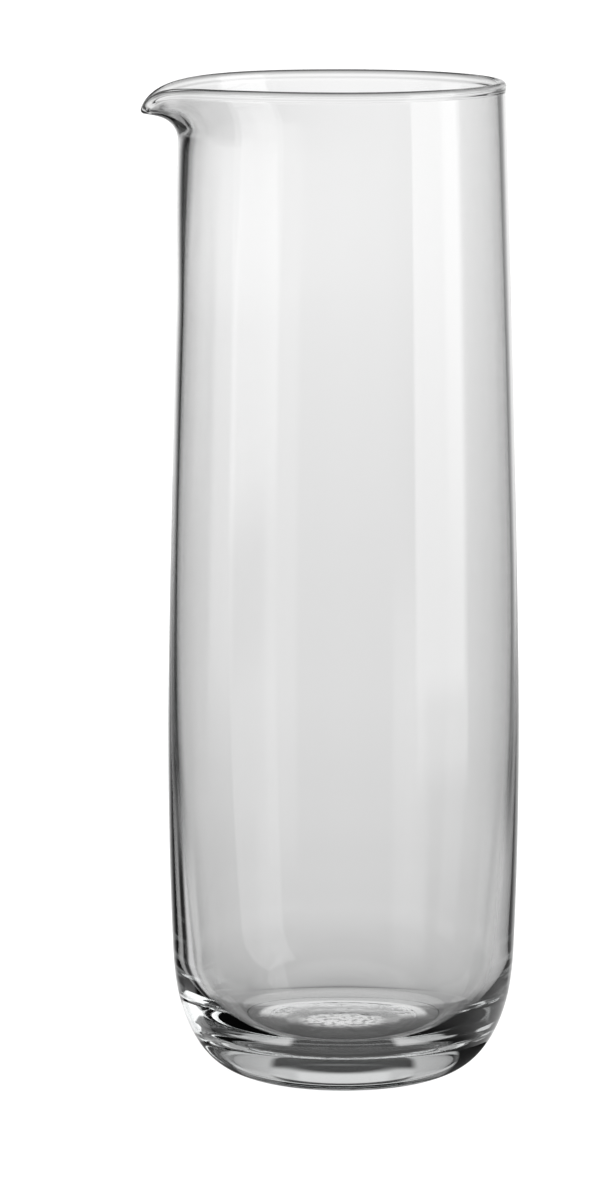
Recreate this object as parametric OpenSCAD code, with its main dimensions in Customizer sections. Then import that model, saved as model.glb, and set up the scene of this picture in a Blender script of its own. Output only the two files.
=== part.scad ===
// Water carafe: a single piece of clear blown glass, open at the top, with a
// heavy solid base and a pouring lip pulled out of the rim.
//
// Frame: millimetres, +Z up. The origin is the centre of the foot, on the
// plane that the carafe stands on. The pouring lip points towards -X.

/* [Body] */
// Height from the resting plane to the top of the rim
body_h = 270; // [255:1:290]
// Outer radius at the widest point of the body
belly_r = 47.8; // [46:0.1:50]
// Height of the widest point of the body
belly_z = 94; // [80:1:105]
// Outer radius of the glass at the rim, away from the lip
rim_r = 43; // [41:0.5:45]
// How the body narrows above its widest point: 1 is a straight cone
taper_pow = 1.25; // [1.1:0.05:2]
// How much narrower the body would be at the resting plane, without its shoulder
low_drop = 3; // [0:0.1:4]
// How late the body narrows below its widest point
low_pow = 2.3; // [1.5:0.1:3]

/* [Foot and shoulder] */
// Radius at which the rounded shoulder would turn level under the foot
foot_r = 25; // [24:0.5:28]
// Depth ground off the foot to leave a flat ring
grind = 0.3; // [0.1:0.05:0.5]
// Inner radius of the flat ring, where the underside turns concave
foot_in_r = 22; // [20:0.5:23]
// Height at which the rounded shoulder meets the body
shoulder_h = 31.5; // [28:0.5:40]
// Fullness of the shoulder, upright: 2 is an ellipse
shoulder_p = 2.15; // [2:0.05:2.6]
// Fullness of the shoulder, level: 2 is an ellipse
shoulder_q = 2.5; // [2:0.1:2.8]
// Rise of the concave underside at its centre
punt_h = 1.6; // [1:0.1:3]
// Radius of the polished spot in the middle of the underside
pontil_r = 12.5; // [9:0.5:14]
// Extra depth of the polished spot
pontil_h = 0.7; // [0.3:0.1:1.2]

/* [Glass thickness] */
// Wall just under the rim
wall_rim = 2.2; // [2:0.1:2.8]
// Wall where it is thinnest
wall_mid = 1.7; // [1.5:0.1:2.4]
// Wall above the shoulder
wall_low = 4.1; // [3.4:0.1:5]
// Height where the wall is thinnest
thin_z = 145; // [130:1:170]
// Height at which wall_low is measured
low_z = 45; // [40:1:50]
// Thickness of the solid base at its centre
floor_z = 11; // [9:0.5:14]
// Rise of the inside floor from its centre to the wall
floor_bowl = 2; // [0.5:0.5:4]
// Radius at which the inside floor turns up into its rounded corner
floor_r = 28.5; // [24:0.5:32]
// Height of the rounded inside corner
corner_h = 20; // [15:1:22]
// How gently the rounded inside corner leaves the wall: 2 is an ellipse
corner_q = 2.5; // [2:0.1:2.8]

/* [Rim and pouring lip] */
// Height of the fire-polished bead at the rim
bead_h = 2.8; // [2:0.1:4]
// How far the bead stands out on each side
bead_out = 0.25; // [0:0.05:0.5]
// Length of wall, from the rim down, that bends out to form the lip
lip_len = 18; // [16:0.5:22]
// Angle that the lip is bent out at its tip
lip_bend = 79; // [60:1:88]
// Half width of the rounded tip of the lip, in degrees round the rim
lip_w = 4.8; // [4:0.1:6]
// How sharply the lip narrows towards its tip
lip_pow = 0.95; // [0.9:0.05:1.5]
// Length of wall over which the bend grows in the middle of the lip
lip_turn = 13; // [10:0.5:14]
// Length of wall over which the bend grows beside the lip
side_turn = 4; // [3:0.5:10]
// Wall of the lip near its tip
lip_wall = 1.5; // [1.3:0.1:2]
// How far the rim sinks around the lip
lip_dip = 0.65; // [0:0.05:1.5]
// How far the thicker neck stands out on the side of the lip
neck_out = 1.2; // [0:0.1:1.5]
// How far the neck is flattened again in the middle, below the lip
neck_flat = 0.3; // [0:0.1:0.6]
// Half width of that flatter part, in degrees round the neck
flat_w = 22; // [12:1:30]

/* [Hidden] */

// How finely the glass is drawn
out_steps = 22;
in_steps = 9;
corner_steps = 8;
floor_steps = 4;
cap_steps = 6;
bend_steps = 11;
lip_steps = 14;
side_steps = 26;

function clamp01(t) = min(1, max(0, t));
function sstep(t) = let (c = clamp01(t)) c * c * (3 - 2 * c);

// Outer radius of the body at height z, without and with its shoulder
function body_r(z) = z >= belly_z
    ? belly_r - (belly_r - rim_r) * pow((z - belly_z) / (body_h - belly_z), taper_pow)
    : belly_r - low_drop * pow((belly_z - z) / belly_z, low_pow);
function outer_r(z) = let (t = (z + grind) / (shoulder_h + grind)) t >= 1
    ? body_r(z)
    : foot_r + (body_r(max(z, 0)) - foot_r) * pow(1 - pow(1 - t, shoulder_p), 1 / shoulder_q);

// Wall thickness at height z, and the inner radius that it leaves
function wall(z) = z >= thin_z
    ? wall_mid + (wall_rim - wall_mid) * pow((z - thin_z) / (body_h - thin_z), 2)
    : wall_mid + (wall_low - wall_mid) * pow((thin_z - z) / (thin_z - low_z), 2);
function inner_r(z) = body_r(z) - wall(z);

// Height at which the inside corner meets the wall, and the inner radius there
corner_z = floor_z + floor_bowl + corner_h;
corner_r = inner_r(corner_z);

// Height of the inside floor at radius r, without its corner
function floor_at(r) = floor_z + floor_bowl * pow(r / corner_r, 2);

// Point on the inside corner: turn is 0 at the wall and 90 at the floor
function corner_at(turn) = let (
        z = floor_at(floor_r + (corner_r - floor_r) * cos(turn))
            + corner_h * (1 - pow(sin(turn), 2 / corner_q))
    ) [floor_r + (inner_r(z) - floor_r) * cos(turn), z];

// Rise of the underside at radius r
function under_z(r) = punt_h * (1 - pow(r / foot_in_r, 2))
    + (r < pontil_r ? pontil_h * (1 - pow(r / pontil_r, 2)) : 0);

lip_z = body_h - lip_len;
// Half the thickness of the bead
rim_half = wall_rim / 2 + bead_out;

// Heights that crowd together at the foot and above the inside corner
function out_z(i) = -grind + (lip_z + grind) * pow(i / out_steps, 2.6);
function in_z(i) = corner_z + (lip_z - corner_z) * pow(i / in_steps, 1.3);

// Share of the lip's bend at an angle round the rim from the middle of the lip
function lip_share(away) = (1 - sstep((abs(away) - 40) / 50))
    / pow(1 + pow(away / lip_w, 2), lip_pow / 2);

// How far the neck stands out below the lip, where its glass is thicker
function neck(away, z) = (neck_out * pow((1 + cos(away)) / 2, 2) - neck_flat * exp(-pow(away / flat_w, 2)))
    * sstep((z - (body_h - 62)) / 42);

function bend_at(away, u) = let (q = lip_share(away))
    lip_bend * q * sstep((u - 0.5) / (side_turn + (lip_turn - side_turn) * q));

// Running sums of a list, starting at 0
function sums(v) = [for (i = 0, s = 0; i <= len(v); s = s + (i < len(v) ? v[i] : 0), i = i + 1) s];

// How far the bead has swollen, 0 to 1, at a distance below the middle of the rim
function bead_share(below) = sstep(1 - below / (bead_h - rim_half));

// Line up the outside of the wall where it bends: [radius, height, bend, distance up, distance left]
function bent_line(away) = let (
        q = lip_share(away),
        reach = lip_len - rim_half - 1.1 * q,
        du = reach / bend_steps,
        mids = [for (i = [0 : bend_steps - 1]) bend_at(away, (i + 0.5) * du)],
        rs = sums([for (b = mids) du * sin(b)]),
        zs = sums([for (b = mids) du * cos(b)]),
        extra = neck(away, lip_z),
        dip = lip_dip * exp(-pow(away / 26, 2))
    ) [for (i = [0 : bend_steps]) let (u = i * du)
        [outer_r(lip_z + u) + rs[i] + extra + bead_out * bead_share(reach - u),
         lip_z + zs[i] - dip * sstep(u / reach), bend_at(away, u), u, reach - u]];

// Glass thickness along that line
function lip_thick(away, p) = let (q = lip_share(away), thin = sstep((p[3] - 4) / 10))
    wall(min(p[1], body_h)) * (1 - q * thin) + lip_wall * q * thin
    + neck(away, lip_z) * (1 - q * thin - (1 - q) * sstep(p[3] / lip_len))
    + 2 * bead_out * bead_share(p[4]);

// Outline of the glass at one angle, from under the foot, up the outside, over the rim and down the inside
function section(away) = let (
        line = bent_line(away),
        top = line[bend_steps],
        t = lip_thick(away, top) / 2,
        mid = [top[0] - t * cos(top[2]), top[1] + t * sin(top[2])]
    ) concat(
        [for (r = [6, pontil_r, 17, foot_in_r - 0.5, foot_in_r + 0.5]) [r, under_z(r)]],
        [for (i = [0 : out_steps - 1]) let (z = out_z(i))
            [outer_r(z) + neck(away, z), z]],
        [for (p = line) [p[0], p[1]]],
        [for (k = [1 : cap_steps - 1]) let (a = 180 * k / cap_steps)
            [mid[0] + t * cos(a) * cos(top[2]) + t * sin(a) * sin(top[2]),
             mid[1] - t * cos(a) * sin(top[2]) + t * sin(a) * cos(top[2])]],
        [for (i = [bend_steps : -1 : 0]) let (p = line[i], w = lip_thick(away, p))
            [p[0] - w * cos(p[2]), p[1] + w * sin(p[2])]],
        [for (i = [in_steps - 1 : -1 : 1]) let (z = in_z(i))
            [inner_r(z), z]],
        [for (k = [0 : corner_steps]) corner_at(90 * k / corner_steps)],
        [for (k = [floor_steps - 1 : -1 : 1]) let (r = floor_r * k / floor_steps)
            [r, floor_at(r)]]);

// Angles from the middle of the lip, close together at the lip
lip_half = 24;
aways = let (half = concat(
        [for (i = [0 : lip_steps]) lip_half * pow(i / lip_steps, 1.3)],
        [for (i = [1 : side_steps]) lip_half + (180 - lip_half) * i / side_steps]),
        n = len(half)
    ) concat(half, [for (i = [n - 2 : -1 : 1]) -half[i]]);

module vessel() {
    sections = [for (a = aways) section(a)];
    m = len(sections[0]);
    n = len(aways);
    points = concat(
        [for (j = [0 : n - 1]) for (p = sections[j])
            [-p[0] * cos(aways[j]), -p[0] * sin(aways[j]), p[1]]],
        [[0, 0, under_z(0)], [0, 0, floor_z]]);
    faces = concat(
        [for (j = [0 : n - 1]) for (i = [0 : m - 2])
            let (a = j * m + i, b = a + 1, d = ((j + 1) % n) * m + i, c = d + 1)
            each [[a, b, c], [a, c, d]]],
        [for (j = [0 : n - 1]) [n * m, j * m, ((j + 1) % n) * m]],
        [for (j = [0 : n - 1]) [n * m + 1, ((j + 1) % n) * m + m - 1, j * m + m - 1]]);
    polyhedron(points, faces, convexity = 6);
}

module carafe_body() {
    color([0.93, 0.95, 0.95, 0.35])
        difference() {
            vessel();
            // The foot is ground flat on the resting plane
            translate([-40, -40, -10])
                cube([80, 80, 10]);
        }
}

carafe_body();
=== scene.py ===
import math

import bpy
import numpy as np
from mathutils import Matrix, Vector


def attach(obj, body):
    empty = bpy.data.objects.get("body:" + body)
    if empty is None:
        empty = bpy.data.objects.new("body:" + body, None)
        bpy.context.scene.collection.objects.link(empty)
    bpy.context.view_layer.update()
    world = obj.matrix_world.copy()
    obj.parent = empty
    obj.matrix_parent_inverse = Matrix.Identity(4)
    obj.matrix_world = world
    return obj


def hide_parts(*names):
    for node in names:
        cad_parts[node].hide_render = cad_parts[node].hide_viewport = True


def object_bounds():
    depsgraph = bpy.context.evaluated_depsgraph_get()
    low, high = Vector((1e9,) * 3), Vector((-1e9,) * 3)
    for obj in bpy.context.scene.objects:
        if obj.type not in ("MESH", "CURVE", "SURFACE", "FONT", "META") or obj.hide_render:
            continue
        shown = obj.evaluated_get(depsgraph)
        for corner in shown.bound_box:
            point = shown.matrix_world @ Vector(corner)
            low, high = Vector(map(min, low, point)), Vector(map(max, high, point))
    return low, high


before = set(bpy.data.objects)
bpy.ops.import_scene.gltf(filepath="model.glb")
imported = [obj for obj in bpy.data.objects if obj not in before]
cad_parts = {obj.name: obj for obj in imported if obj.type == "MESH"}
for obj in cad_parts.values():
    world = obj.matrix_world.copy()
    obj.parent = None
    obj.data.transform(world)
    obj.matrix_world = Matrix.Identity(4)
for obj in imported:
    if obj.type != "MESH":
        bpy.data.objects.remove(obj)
CAD_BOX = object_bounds()

# ---------------------------------------------------------------------------
# The glass: the same shape as the CAD body, in millimetres, drawn finely
# ---------------------------------------------------------------------------
BODY_H, BELLY_R, BELLY_Z, RIM_R, TAPER = 270.0, 47.8, 94.0, 43.0, 1.25
LOW_DROP, LOW_POW = 3.0, 2.3
FOOT_R, GRIND, FOOT_IN_R = 25.0, 0.3, 22.0
SHOULDER_H, SHOULDER_P, SHOULDER_Q = 31.5, 2.15, 2.5
PUNT_H, PONTIL_R, PONTIL_H = 1.6, 12.5, 0.7
WALL_RIM, WALL_MID, WALL_LOW, THIN_Z, LOW_Z = 2.2, 1.7, 4.1, 145.0, 45.0
FLOOR_Z, FLOOR_BOWL, FLOOR_R, CORNER_H, CORNER_Q = 11.0, 2.0, 28.5, 20.0, 2.5
BEAD_H, BEAD_OUT = 2.8, 0.25
LIP_LEN, LIP_BEND, LIP_W, LIP_POW, LIP_WALL, LIP_DIP = 18.0, 79.0, 4.8, 0.95, 1.5, 0.65
LIP_TURN, SIDE_TURN = 13.0, 4.0
NECK_OUT, NECK_FLAT, FLAT_W = 1.2, 0.3, 22.0
# Height in mm of the waves in the surface, and of the relief of the mark under the foot
WAVE, MARK = 0.12, 0.30
LIP_Z = BODY_H - LIP_LEN
RIM_HALF = WALL_RIM / 2 + BEAD_OUT


def sstep(t):
    t = np.clip(t, 0.0, 1.0)
    return t * t * (3 - 2 * t)


def raw_body_r(z):
    up = np.clip((z - BELLY_Z) / (BODY_H - BELLY_Z), 0, None)
    down = np.clip((BELLY_Z - z) / BELLY_Z, 0, None)
    return BELLY_R - (BELLY_R - RIM_R) * up**TAPER - LOW_DROP * down**LOW_POW


# The body's outline is smoothed, so that no line shows where its two halves meet
_z = np.arange(-60.0, 330.0, 0.5)
_k = np.exp(-0.5 * (np.arange(-60, 61) * 0.5 / 9.0) ** 2)
_smooth = np.convolve(raw_body_r(_z), _k / _k.sum(), mode="same")


def body_r(z):
    return np.interp(z, _z[70:-70], _smooth[70:-70])


def turned_r(z):
    t = np.clip((z + GRIND) / (SHOULDER_H + GRIND), 0, 1)
    turned = FOOT_R + (body_r(np.maximum(z, 0)) - FOOT_R) * (1 - (1 - t) ** SHOULDER_P) ** (1 / SHOULDER_Q)
    return np.where(t >= 1, body_r(z), turned)


# ... and neither where the rounded shoulder meets the body
_zs = np.arange(0.0, 80.0, 0.1)
_ks = np.exp(-0.5 * (np.arange(-120, 121) * 0.1 / 3.0) ** 2)
_soft = np.convolve(turned_r(_zs), _ks / _ks.sum(), mode="same")


def outer_r(z):
    share = sstep((z - 20.0) / 8.0) * (1 - sstep((z - 50.0) / 10.0))
    return turned_r(z) * (1 - share) + np.interp(z, _zs, _soft) * share


def wall(z):
    up = np.clip((z - THIN_Z) / (BODY_H - THIN_Z), 0, None)
    down = np.clip((THIN_Z - z) / (THIN_Z - LOW_Z), 0, None)
    return WALL_MID + (WALL_RIM - WALL_MID) * up**2 + (WALL_LOW - WALL_MID) * down**2


def inner_r(z):
    return body_r(z) - wall(z)


CORNER_Z = FLOOR_Z + FLOOR_BOWL + CORNER_H
CORNER_R = float(inner_r(np.array(CORNER_Z)))


def floor_at(r):
    return FLOOR_Z + FLOOR_BOWL * (r / CORNER_R) ** 2


def inside_bottom(n_corner, n_floor):
    """Outline of the inside corner and floor, from the wall to near the axis."""
    turn = np.radians(np.linspace(0, 90, n_corner + 1))
    z = floor_at(FLOOR_R + (CORNER_R - FLOOR_R) * np.cos(turn)) + CORNER_H * (1 - np.sin(turn) ** (2 / CORNER_Q))
    r = FLOOR_R + (inner_r(z) - FLOOR_R) * np.cos(turn)
    fr = np.linspace(FLOOR_R, 0, n_floor + 1)[1:-1]
    return np.concatenate([r, fr]), np.concatenate([z, floor_at(fr)])


def under_z(r):
    spot = np.clip(1 - (r / PONTIL_R) ** 2, 0, None)
    return PUNT_H * (1 - (r / FOOT_IN_R) ** 2) + PONTIL_H * spot


def lip_share(away):
    return (1 - sstep((abs(away) - 40) / 50)) / (1 + (away / LIP_W) ** 2) ** (LIP_POW / 2)


def neck(away, z):
    """How far the neck stands out below the lip, where its glass is thicker."""
    out = NECK_OUT * ((1 + math.cos(math.radians(away))) / 2) ** 2 - NECK_FLAT * math.exp(-((away / FLAT_W) ** 2))
    return out * sstep((z - (BODY_H - 62)) / 42)


def bead_share(below):
    return sstep(1 - below / (BEAD_H - RIM_HALF))


def section(away, steps):
    """Outline of the glass at one angle from the middle of the lip, as (radius, height), from the axis under the foot round to the axis inside."""
    q = float(lip_share(away))
    reach = LIP_LEN - RIM_HALF - 1.1 * q
    n = steps["bend"]
    u = np.linspace(0, reach, n + 1)
    fine = np.linspace(0, reach, 8 * n + 1)
    mid = (fine[1:] + fine[:-1]) / 2
    turn = SIDE_TURN + (LIP_TURN - SIDE_TURN) * q
    bend = np.radians(LIP_BEND) * q * sstep((mid - 0.5) / turn)
    du = fine[1] - fine[0]
    rs = np.concatenate([[0], np.cumsum(np.sin(bend) * du)])[::8]
    zs = np.concatenate([[0], np.cumsum(np.cos(bend) * du)])[::8]
    extra = float(neck(away, LIP_Z))
    dip = LIP_DIP * math.exp(-((away / 26) ** 2))
    r = outer_r(LIP_Z + u) + rs + extra + BEAD_OUT * bead_share(reach - u)
    z = LIP_Z + zs - dip * sstep(u / reach)
    b = np.radians(LIP_BEND) * q * sstep((u - 0.5) / turn)
    thin = sstep((u - 4) / 10)
    w = (
        wall(np.minimum(z, BODY_H)) * (1 - q * thin)
        + LIP_WALL * q * thin
        + extra * (1 - q * thin - (1 - q) * sstep(u / LIP_LEN))
        + 2 * BEAD_OUT * bead_share(reach - u)
    )
    ir, iz = r - w * np.cos(b), z + w * np.sin(b)
    t = w[-1] / 2
    mr, mz = r[-1] - t * math.cos(b[-1]), z[-1] + t * math.sin(b[-1])
    a = np.linspace(0, math.pi, steps["cap"] + 1)[1:-1]
    cap_r = mr + t * np.cos(a) * math.cos(b[-1]) + t * np.sin(a) * math.sin(b[-1])
    cap_z = mz - t * np.cos(a) * math.sin(b[-1]) + t * np.sin(a) * math.cos(b[-1])
    # under the foot, the ground ring and the rounded outside
    ur = steps["under"]
    uz = under_z(ur)
    edge = float(outer_r(np.array(0.0)))
    ring_r = np.array([FOOT_IN_R, FOOT_IN_R + 0.15, (FOOT_IN_R + edge) / 2, edge - 0.25])
    ring_z = np.zeros(4)
    oz = steps["out"]
    orr = outer_r(oz) + neck(away, oz)
    jz = steps["in"]
    jr = inner_r(jz)
    br, bz = steps["bottom"]
    return (
        np.concatenate([ur, ring_r, orr, r, cap_r, ir[::-1], jr, br]),
        np.concatenate([uz, ring_z, oz, z, cap_z, iz[::-1], jz, bz]),
    )


def glass_mesh(name):
    n_out, n_in = ((190, 130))
    steps = {
        "bend": 44,
        "cap": 16,
        "under": np.concatenate([np.linspace(0.6, PONTIL_R - 0.2, 16), np.linspace(PONTIL_R, FOOT_IN_R - 0.2, 14)]),
        "out": LIP_Z * np.linspace(0, 1, n_out + 1)[:-1] ** 2.2,
        "in": (CORNER_Z + (LIP_Z - CORNER_Z) * np.linspace(0, 1, n_in + 1)[1:-1] ** 1.5)[::-1],
        "bottom": inside_bottom(90, 50),
    }
    steps["out"][0] = 0.02
    half = np.concatenate([np.linspace(0, 14, 36)[:-1], np.linspace(14, 40, 34)[:-1], np.linspace(40, 180, 92)])
    aways = np.concatenate([half, -half[1:-1][::-1]])
    rings = [section(a, steps) for a in aways]
    m = len(rings[0][0])
    n = len(aways)
    th = np.radians(aways)
    r = np.array([s[0] for s in rings])
    z = np.array([s[1] for s in rings])
    co = np.stack([-r * np.cos(th)[:, None], -r * np.sin(th)[:, None], z], -1).reshape(-1, 3)
    co = np.concatenate([co, [[0, 0, float(under_z(np.array(0.0)))], [0, 0, FLOOR_Z]]]) / 1000
    # the fine outline stays within the overall size of the CAD body
    co = np.clip(co, np.array(CAD_BOX[0]) + 2e-6, np.array(CAD_BOX[1]) - 2e-6)
    j = np.arange(n)[:, None]
    i = np.arange(m - 1)[None, :]
    a = j * m + i
    d = ((j + 1) % n) * m + i
    quads = np.stack([a, d, d + 1, a + 1], -1).reshape(-1, 4)
    jj = np.arange(n)
    foot = np.stack([np.full(n, n * m), ((jj + 1) % n) * m, jj * m], -1)
    floor = np.stack([np.full(n, n * m + 1), jj * m + m - 1, ((jj + 1) % n) * m + m - 1], -1)
    me = bpy.data.meshes.new(name)
    me.vertices.add(len(co))
    me.vertices.foreach_set("co", co.ravel())
    tris = np.concatenate([foot, floor])
    loops = np.concatenate([quads.ravel(), tris.ravel()]).astype(np.int32)
    starts = np.concatenate([np.arange(len(quads)) * 4, len(quads) * 4 + np.arange(len(tris)) * 3]).astype(np.int32)
    me.loops.add(len(loops))
    me.loops.foreach_set("vertex_index", loops)
    me.polygons.add(len(starts))
    me.polygons.foreach_set("loop_start", starts)
    me.polygons.foreach_set("use_smooth", np.ones(len(starts), bool))
    me.update(calc_edges=True)
    me.validate()
    return me


me = glass_mesh("carafe_glass")
glass = bpy.data.objects.new("carafe_glass", me)
bpy.context.scene.collection.objects.link(glass)

mat = bpy.data.materials.new("clear_glass")
mat.use_nodes = True
nt = mat.node_tree
nt.nodes.clear()
out = nt.nodes.new("ShaderNodeOutputMaterial")
bs = nt.nodes.new("ShaderNodeBsdfPrincipled")
bs.inputs["Base Color"].default_value = (1, 1, 1, 1)
bs.inputs["Roughness"].default_value = 0.0
bs.inputs["IOR"].default_value = 1.5
bs.inputs["Transmission Weight"].default_value = 1.0
nt.links.new(bs.outputs[0], out.inputs["Surface"])

# Glass of this thickness is very slightly grey
tint = nt.nodes.new("ShaderNodeVolumeAbsorption")
tint.inputs["Color"].default_value = (0.1, 0.2, 0.2, 1)
tint.inputs["Density"].default_value = 1.8
nt.links.new(tint.outputs[0], out.inputs["Volume"])

# Faint waves from the blowing, and the rougher mark in the middle of the underside
where = nt.nodes.new("ShaderNodeNewGeometry")


def glass_math(op, a, b=0.0, clamp=False):
    n = nt.nodes.new("ShaderNodeMath")
    n.operation = op
    n.use_clamp = clamp
    for k, v in enumerate((a, b)):
        if hasattr(v, "is_output"):
            nt.links.new(v, n.inputs[k])
        else:
            n.inputs[k].default_value = v
    return n.outputs[0]


def waves(scale, detail, stretch):
    spread = nt.nodes.new("ShaderNodeMapping")
    spread.inputs["Scale"].default_value = stretch
    nt.links.new(where.outputs["Position"], spread.inputs["Vector"])
    n = nt.nodes.new("ShaderNodeTexNoise")
    n.inputs["Scale"].default_value = scale
    n.inputs["Detail"].default_value = detail
    nt.links.new(spread.outputs[0], n.inputs["Vector"])
    return n.outputs["Fac"]


parts = nt.nodes.new("ShaderNodeSeparateXYZ")
nt.links.new(where.outputs["Position"], parts.inputs[0])
wide = glass_math("SQRT", glass_math("ADD", glass_math("POWER", parts.outputs[0], 2.0), glass_math("POWER", parts.outputs[1], 2.0)))
low = glass_math("MULTIPLY", glass_math("SUBTRACT", 0.0045, parts.outputs[2]), 1000.0, clamp=True)
mark = glass_math("MULTIPLY", low, glass_math("MULTIPLY", glass_math("SUBTRACT", 0.0215, wide), 1000.0, clamp=True))
relief = glass_math("MULTIPLY", waves(22.0, 1.0, (1.0, 1.0, 0.45)), WAVE)
relief = glass_math("ADD", relief, glass_math("MULTIPLY", glass_math("MULTIPLY", waves(260.0, 2.0, (1.0, 1.0, 1.0)), MARK), mark))
bump = nt.nodes.new("ShaderNodeBump")
bump.inputs["Strength"].default_value = 1.0
bump.inputs["Distance"].default_value = 0.001
nt.links.new(relief, bump.inputs["Height"])
nt.links.new(bump.outputs[0], bs.inputs["Normal"])
me.materials.append(mat)

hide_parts("carafe_body")
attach(glass, "root")
# clear glass hardly shades what it stands on
glass.visible_diffuse = False

# ---------------------------------------------------------------------------
# Camera: the photograph's view
# ---------------------------------------------------------------------------
cam_data = bpy.data.cameras.new("camera")
cam_data.sensor_fit = "AUTO"
cam_data.sensor_width = 36.0
cam_data.lens = 5397.0 / 1200.0 * 36.0
cam_data.clip_start, cam_data.clip_end = 0.05, 100.0
cam = bpy.data.objects.new("camera", cam_data)
bpy.context.scene.collection.objects.link(cam)
pitch, yaw = math.radians(9.70), math.radians(0.39)
forward = Vector((-math.sin(yaw) * math.cos(pitch), math.cos(yaw) * math.cos(pitch), -math.sin(pitch)))
cam.location = (0.0, -1.443, 0.376)
cam.rotation_mode = "QUATERNION"
cam.rotation_quaternion = forward.to_track_quat("-Z", "Y")
bpy.context.scene.camera = cam

# ---------------------------------------------------------------------------
# Stage
# ---------------------------------------------------------------------------
scene = bpy.context.scene
scene.view_settings.view_transform = "Standard"
scene.view_settings.look = "None"
scene.cycles.max_bounces = 32
scene.cycles.transmission_bounces = 24
scene.cycles.glossy_bounces = 16
scene.cycles.diffuse_bounces = 3
scene.cycles.transparent_max_bounces = 16
scene.cycles.use_denoising = True

world = bpy.data.worlds.new("studio")
scene.world = world
world.use_nodes = True
wt = world.node_tree
wt.nodes.clear()


def plug(value, socket):
    if hasattr(value, "is_output"):
        wt.links.new(value, socket)
    else:
        socket.default_value = value


def math_node(op, a, b=0.0):
    n = wt.nodes.new("ShaderNodeMath")
    n.operation = op
    plug(a, n.inputs[0])
    plug(b, n.inputs[1])
    return n.outputs[0]


def step_up(value, at, soft):
    """0 below the edge, 1 above it, with a soft edge."""
    n = wt.nodes.new("ShaderNodeMapRange")
    n.interpolation_type = "SMOOTHSTEP"
    plug(value, n.inputs["Value"])
    n.inputs["From Min"].default_value = at - soft
    n.inputs["From Max"].default_value = at + soft
    return n.outputs["Result"]


def band(value, lo, hi, soft_lo, soft_hi):
    up = step_up(value, lo, soft_lo)
    down = math_node("SUBTRACT", 1.0, step_up(value, hi, soft_hi))
    return math_node("MULTIPLY", up, down)


def blend(base, level, share):
    """base where share is 0, level where it is 1."""
    n = wt.nodes.new("ShaderNodeMix")
    n.data_type = "FLOAT"
    plug(share, n.inputs[0])
    plug(base, n.inputs[2])
    plug(level, n.inputs[3])
    return n.outputs[0]


# Directions in degrees: round from +Y (towards +X is positive), and up from the horizon
coords = wt.nodes.new("ShaderNodeTexCoord")
split = wt.nodes.new("ShaderNodeSeparateXYZ")
wt.links.new(coords.outputs["Generated"], split.inputs[0])
azimuth = math_node("MULTIPLY", math_node("ARCTAN2", split.outputs[0], split.outputs[1]), 57.29578)
height = math_node("MULTIPLY", math_node("ARCSINE", split.outputs[2]), 57.29578)

# White sweep behind the carafe, which darkens towards the table under it and ends at a dark edge above it
def ramp_of(value, stops, lo, hi):
    """Level read off a list of (degrees, level)."""
    n = wt.nodes.new("ShaderNodeValToRGB")
    ramp = n.color_ramp
    while len(ramp.elements) > 1:
        ramp.elements.remove(ramp.elements[0])
    for k, (deg, level) in enumerate(stops):
        at = (deg - lo) / (hi - lo)
        e = ramp.elements[0] if k == 0 else ramp.elements.new(at)
        e.position = at
        e.color = (level, level, level, 1)
    plug(math_node("DIVIDE", math_node("SUBTRACT", value, lo), hi - lo), n.inputs[0])
    return n.outputs[0]


light = ramp_of(
    height,
    [
        (-90, 0.03), (-76, 0.03), (-70, 0.06), (-64, 0.15), (-58, 0.08), (-48, 0.09), (-38, 0.15), (-33, 0.40),
        (-26, 0.50), (-20, 0.60), (-16, 0.67), (-13.5, 0.76), (-12, 0.80), (-9.5, 0.82), (-7.5, 0.88), (-5.5, 0.95),
        (-3, 1.0), (4, 1.0), (10, 0.80), (13.3, 0.78), (14.7, 0.04), (20, 0.02), (40, 0.02), (44, 0.04), (52, 0.8), (66, 0.9),
        (90, 0.5),
    ],
    -90.0,
    90.0,
)

# Round the sides: dark screens that close in on the sweep, the dim room, and a large softbox at the right
above = step_up(height, -17.0, 2.0)
high = math_node("SUBTRACT", 1.0, step_up(height, 50.0, 8.0))
around = math_node("MULTIPLY", above, high)
side = ramp_of(
    azimuth,
    [
        (-180, 0.30), (-130, 0.30), (-118, 0.03), (-66, 0.03), (-61, 0.02), (-54, 0.17), (-49, 0.18), (-45, 0.02),
        (-30, 0.01), (-27, 0.04), (-24, 0.16), (-21, 0.36), (-18, 0.52), (-15.5, 0.75), (-13, 0.97), (-11, 1.0),
        (12, 1.0), (14, 0.85), (20, 0.78), (22.5, 0.50), (25.5, 0.27), (29, 0.22), (40, 0.19), (46, 0.22),
        (51, 0.32), (56, 0.22), (62, 0.08), (80, 0.04), (88, 0.10), (135, 0.10), (150, 0.30), (180, 0.30),
    ],
    -180.0,
    180.0,
)
light = blend(light, math_node("MULTIPLY", light, side), around)
left_high = math_node("MULTIPLY", math_node("MULTIPLY", band(azimuth, -150.0, -46.0, 6.0, 2.0), step_up(height, 4.0, 1.5)), high)
light = blend(light, 0.01, left_high)
left_low = math_node("MULTIPLY", band(azimuth, -118.0, -24.0, 4.0, 3.0), band(height, -60.0, -17.0, 4.0, 2.0))
light = blend(light, 0.03, left_low)
# The sweep widens above the horizon, and has pale upper corners, which only the foot shows
for sign in (-1.0, 1.0):
    away = math_node("MULTIPLY", azimuth, sign)
    wing = math_node("MULTIPLY", band(away, 13.0, 48.0, 2.0, 3.0), band(height, 4.5, 14.0, 1.0, 0.7))
    light = blend(light, 0.62, wing)
    corner = math_node("MULTIPLY", band(away, 20.5, 48.0, 2.0, 3.0), band(height, 4.5, 36.0, 1.0, 3.0))
    light = blend(light, 0.55, corner)
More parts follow.
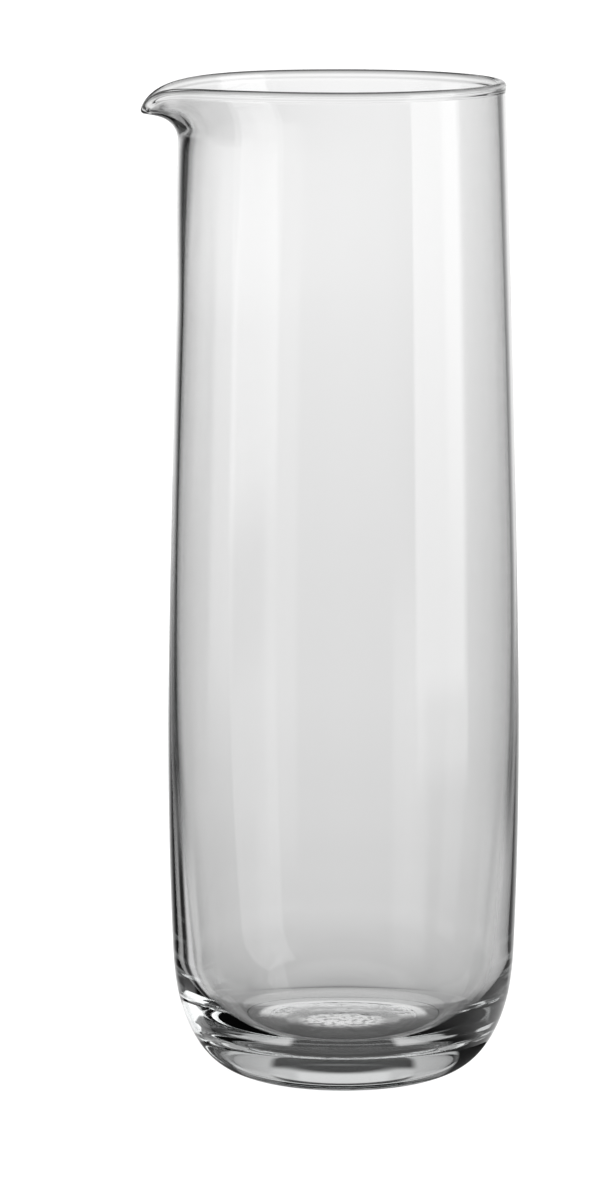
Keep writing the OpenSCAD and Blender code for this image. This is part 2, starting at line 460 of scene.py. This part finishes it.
# Pale openings between the screens, so that the glass is clear from other sides too
for left, right, under_el, over_el in ((-55.0, -35.0, -38.0, -18.0), (-100.0, -80.0, -11.0, 3.0), (123.0, 147.0, -25.0, -7.0)):
    opening = math_node("MULTIPLY", band(azimuth, left, right, 3.0, 3.0), band(height, under_el, over_el, 2.5, 2.0))
    light = blend(light, 0.72, opening)
softbox = math_node("MULTIPLY", band(azimuth, 91.0, 131.0, 1.5, 1.0), band(height, -11.5, 42.0, 1.0, 2.0))
light = blend(light, 1.5, softbox)

# What the camera sees directly and what lights the floor is plain even white
path = wt.nodes.new("ShaderNodeLightPath")
light = blend(light, 1.35, path.outputs["Is Diffuse Ray"])
light = blend(light, 1.06, path.outputs["Is Camera Ray"])
background = wt.nodes.new("ShaderNodeBackground")
background.inputs["Color"].default_value = (1, 1, 1, 1)
plug(light, background.inputs["Strength"])
world_out = wt.nodes.new("ShaderNodeOutputWorld")
wt.links.new(background.outputs[0], world_out.inputs[0])

fm = bpy.data.meshes.new("floor")
s = 30.0
fm.from_pydata([(-s, -s, 0), (s, -s, 0), (s, s, 0), (-s, s, 0)], [], [(0, 1, 2, 3)])
floor = bpy.data.objects.new("floor", fm)
scene.collection.objects.link(floor)
floor_mat = bpy.data.materials.new("floor")
floor_mat.use_nodes = True
fb = floor_mat.node_tree.nodes["Principled BSDF"]
fb.inputs["Base Color"].default_value = (0.95, 0.95, 0.95, 1)
fb.inputs["Roughness"].default_value = 0.9
fb.inputs["Specular IOR Level"].default_value = 0.0
fm.materials.append(floor_mat)
# the glass bends and mirrors only the sweep, screens and softbox around it
floor.visible_transmission = False
floor.visible_glossy = False

# A glowing disc for the table right under the carafe, which only the rays through the glass meet:
# it is painted with the shade of the heavy base on the table, and with painted light for what
# the hollow underside gathers, as a bright spot and a ring
pm = bpy.data.meshes.new("painted_shade_and_light_disc")
turns = [math.radians(5 * k) for k in range(72)]
pm.from_pydata([(0.046 * math.cos(t), 0.046 * math.sin(t), -0.0002) for t in turns], [], [tuple(range(72))])
under = bpy.data.objects.new("painted_shade_and_light_disc", pm)
scene.collection.objects.link(under)
painted_disc_mat = bpy.data.materials.new("painted_shade_and_light_disc")
painted_disc_mat.use_nodes = True
wt = painted_disc_mat.node_tree
wt.nodes.clear()
geo = wt.nodes.new("ShaderNodeNewGeometry")
place = wt.nodes.new("ShaderNodeSeparateXYZ")
wt.links.new(geo.outputs["Position"], place.inputs[0])
px = math_node("MULTIPLY", place.outputs[0], 1000.0)
py = math_node("MULTIPLY", place.outputs[1], 1000.0)
pr = math_node("SQRT", math_node("ADD", math_node("MULTIPLY", px, px), math_node("MULTIPLY", py, py)))
# painted shade of the base on the table: darker towards the front, lighter behind
painted_shade_and_light = ramp_of(
    py, [(-46, 0.09), (-20, 0.07), (-12, 0.12), (-6, 0.15), (2, 0.18), (11, 0.21), (15, 0.42), (24, 0.42), (46, 0.42)], -46.0, 46.0
)
# more painted shade towards the right front
painted_right_shade = ramp_of(px, [(-46, 1.0), (26, 1.0), (33, 0.6), (40, 0.3), (46, 0.1)], -46.0, 46.0)
painted_shade_and_light = math_node("MULTIPLY", painted_shade_and_light, blend(painted_right_shade, 1.0, step_up(py, 14.0, 2.0)))
# painted light: a bright ring where the hollow underside gathers light onto the table
painted_ring_light = math_node("MULTIPLY", band(pr, 16.5, 25.0, 1.0, 1.0), step_up(py, 1.0, 4.0))
painted_shade_and_light = blend(painted_shade_and_light, 0.85, painted_ring_light)
# painted light: a paler area inside the ring
painted_inner_light = math_node("MULTIPLY", math_node("SUBTRACT", 1.0, step_up(pr, 17.0, 1.0)), step_up(py, -5.0, 4.0))
painted_shade_and_light = blend(painted_shade_and_light, 0.45, painted_inner_light)
# painted light: a bright spot in the middle, broken by painted dark speckles
spot = math_node("MULTIPLY", math_node("SUBTRACT", 1.0, step_up(pr, 12.0, 3.0)), step_up(py, -8.0, 4.0))
painted_speckle = wt.nodes.new("ShaderNodeTexNoise")
painted_speckle.inputs["Scale"].default_value = 420.0
painted_speckle.inputs["Detail"].default_value = 1.0
wt.links.new(geo.outputs["Position"], painted_speckle.inputs["Vector"])
painted_shade_and_light = blend(painted_shade_and_light, math_node("SUBTRACT", 0.95, math_node("MULTIPLY", step_up(painted_speckle.outputs["Fac"], 0.56, 0.07), 0.5)), spot)
# painted light: a pale arc at the front sides of the disc
painted_light_arc = math_node("MULTIPLY", band(pr, 33.0, 38.0, 0.8, 0.8), step_up(math_node("ABSOLUTE", px), 17.0, 1.5))
painted_light_arc = math_node("MULTIPLY", painted_light_arc, math_node("SUBTRACT", 1.0, step_up(py, -18.0, 2.0)))
painted_shade_and_light = blend(painted_shade_and_light, 0.65, painted_light_arc)
# the painted shade and painted light glow from the disc as emission, not from a lamp
glow = wt.nodes.new("ShaderNodeEmission")
plug(painted_shade_and_light, glow.inputs["Strength"])
glow_out = wt.nodes.new("ShaderNodeOutputMaterial")
wt.links.new(glow.outputs[0], glow_out.inputs[0])
pm.materials.append(painted_disc_mat)
under.visible_camera = False
under.visible_diffuse = False
under.visible_shadow = False
